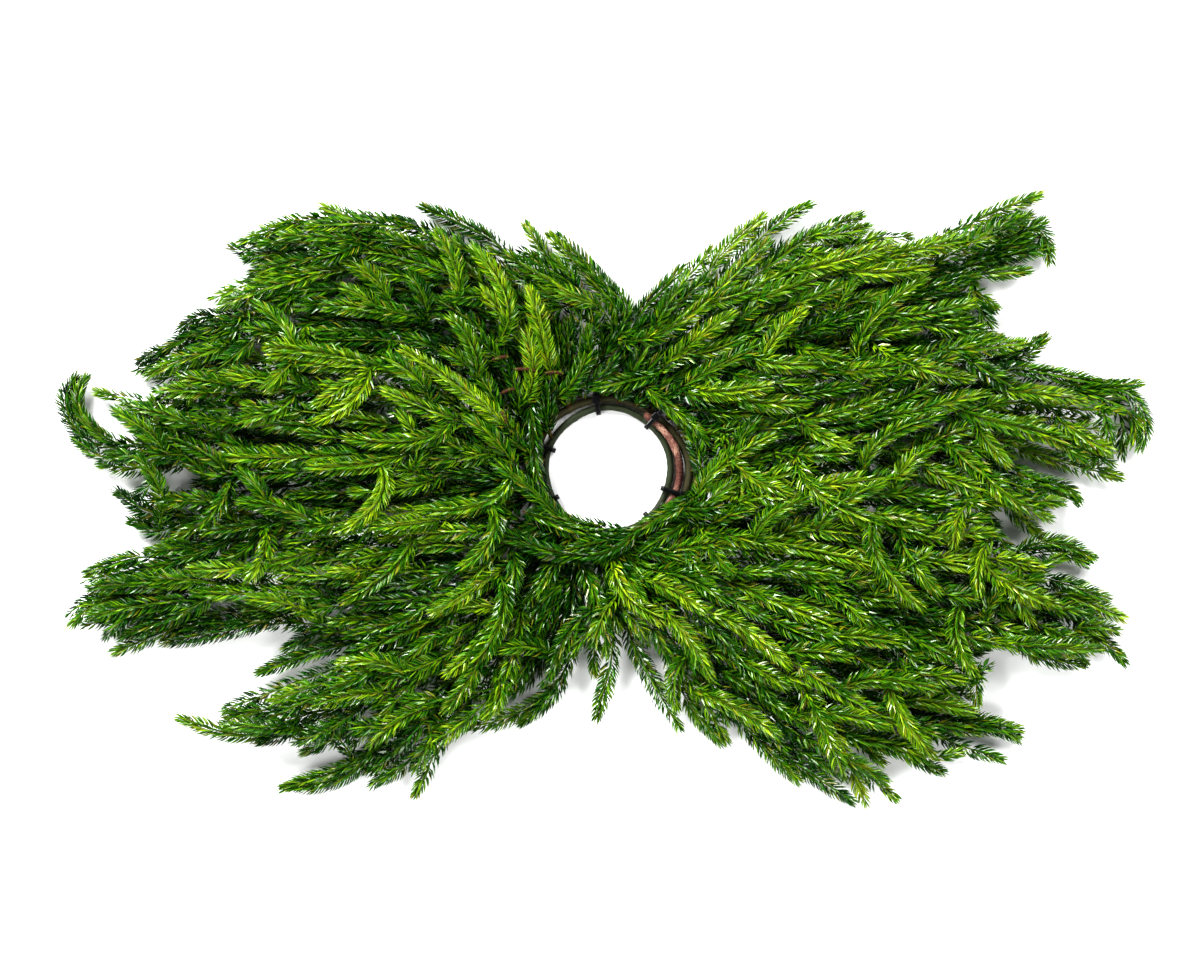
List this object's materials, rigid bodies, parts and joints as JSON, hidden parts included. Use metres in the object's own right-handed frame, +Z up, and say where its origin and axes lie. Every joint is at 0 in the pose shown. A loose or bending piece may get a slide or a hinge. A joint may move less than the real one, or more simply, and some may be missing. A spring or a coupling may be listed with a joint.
{
  "type": "evergreen candle ring",
  "caption": "Low table wreath: bent vine ring with a round candle hole, bound with plastic ties, and soft needled evergreen sprays fanning out left and right.",
  "frame": {"origin": "on the table under the middle of the whole spread; the candle hole's axis is 2.5 mm to the right of it and 15 mm behind it", "axes": "+X along the spread towards the right wing, +Y towards the top notch of the foliage as seen from above, +Z up"},
  "size_m": [0.597, 0.3435, 0.0312],
  "materials": {
    "green_vine": "smooth young green bark",
    "olive_vine": "olive-brown bark, slightly rough",
    "red_bark": "dry red-brown bark, rough",
    "tie_plastic": "black, slightly glossy",
    "evergreen": "waxy living needles, mid to yellow green"
  },
  "bodies": {
    "root": {"ring_strand_bark": "red_bark", "ring_strand_inner": "green_vine", "ring_strand_outer": "olive_vine", "spray_left_01": "evergreen", "spray_left_02": "evergreen", "spray_left_03": "evergreen", "spray_left_04": "evergreen", "spray_left_05": "evergreen", "spray_left_06": "evergreen", "spray_left_07": "evergreen", "spray_left_08": "evergreen", "spray_left_09": "evergreen", "spray_left_10": "evergreen", "spray_left_11": "evergreen", "spray_left_12": "evergreen", "spray_left_13": "evergreen", "spray_left_14": "evergreen", "spray_left_15": "evergreen", "spray_left_16": "evergreen", "spray_left_17": "evergreen", "spray_left_18": "evergreen", "spray_left_19": "evergreen", "spray_left_20": "evergreen", "spray_left_21": "evergreen", "spray_left_22": "evergreen", "spray_left_23": "evergreen", "spray_middle_01": "evergreen", "spray_middle_02": "evergreen", "spray_middle_03": "evergreen", "spray_middle_04": "evergreen", "spray_middle_05": "evergreen", "spray_middle_06": "evergreen", "spray_right_01": "evergreen", "spray_right_02": "evergreen", "spray_right_03": "evergreen", "spray_right_04": "evergreen", "spray_right_05": "evergreen", "spray_right_06": "evergreen", "spray_right_07": "evergreen", "spray_right_08": "evergreen", "spray_right_09": "evergreen", "spray_right_10": "evergreen", "spray_right_11": "evergreen", "spray_right_12": "evergreen", "spray_right_13": "evergreen", "spray_right_14": "evergreen", "spray_right_15": "evergreen", "spray_right_16": "evergreen", "spray_right_17": "evergreen", "spray_right_18": "evergreen", "spray_right_19": "evergreen", "spray_right_20": "evergreen", "tie_01": "tie_plastic", "tie_02": "tie_plastic", "tie_03": "tie_plastic", "tie_04": "tie_plastic", "tie_05": "tie_plastic", "tie_06": "tie_plastic", "tie_07": "tie_plastic"}
  },
  "joints": []
}
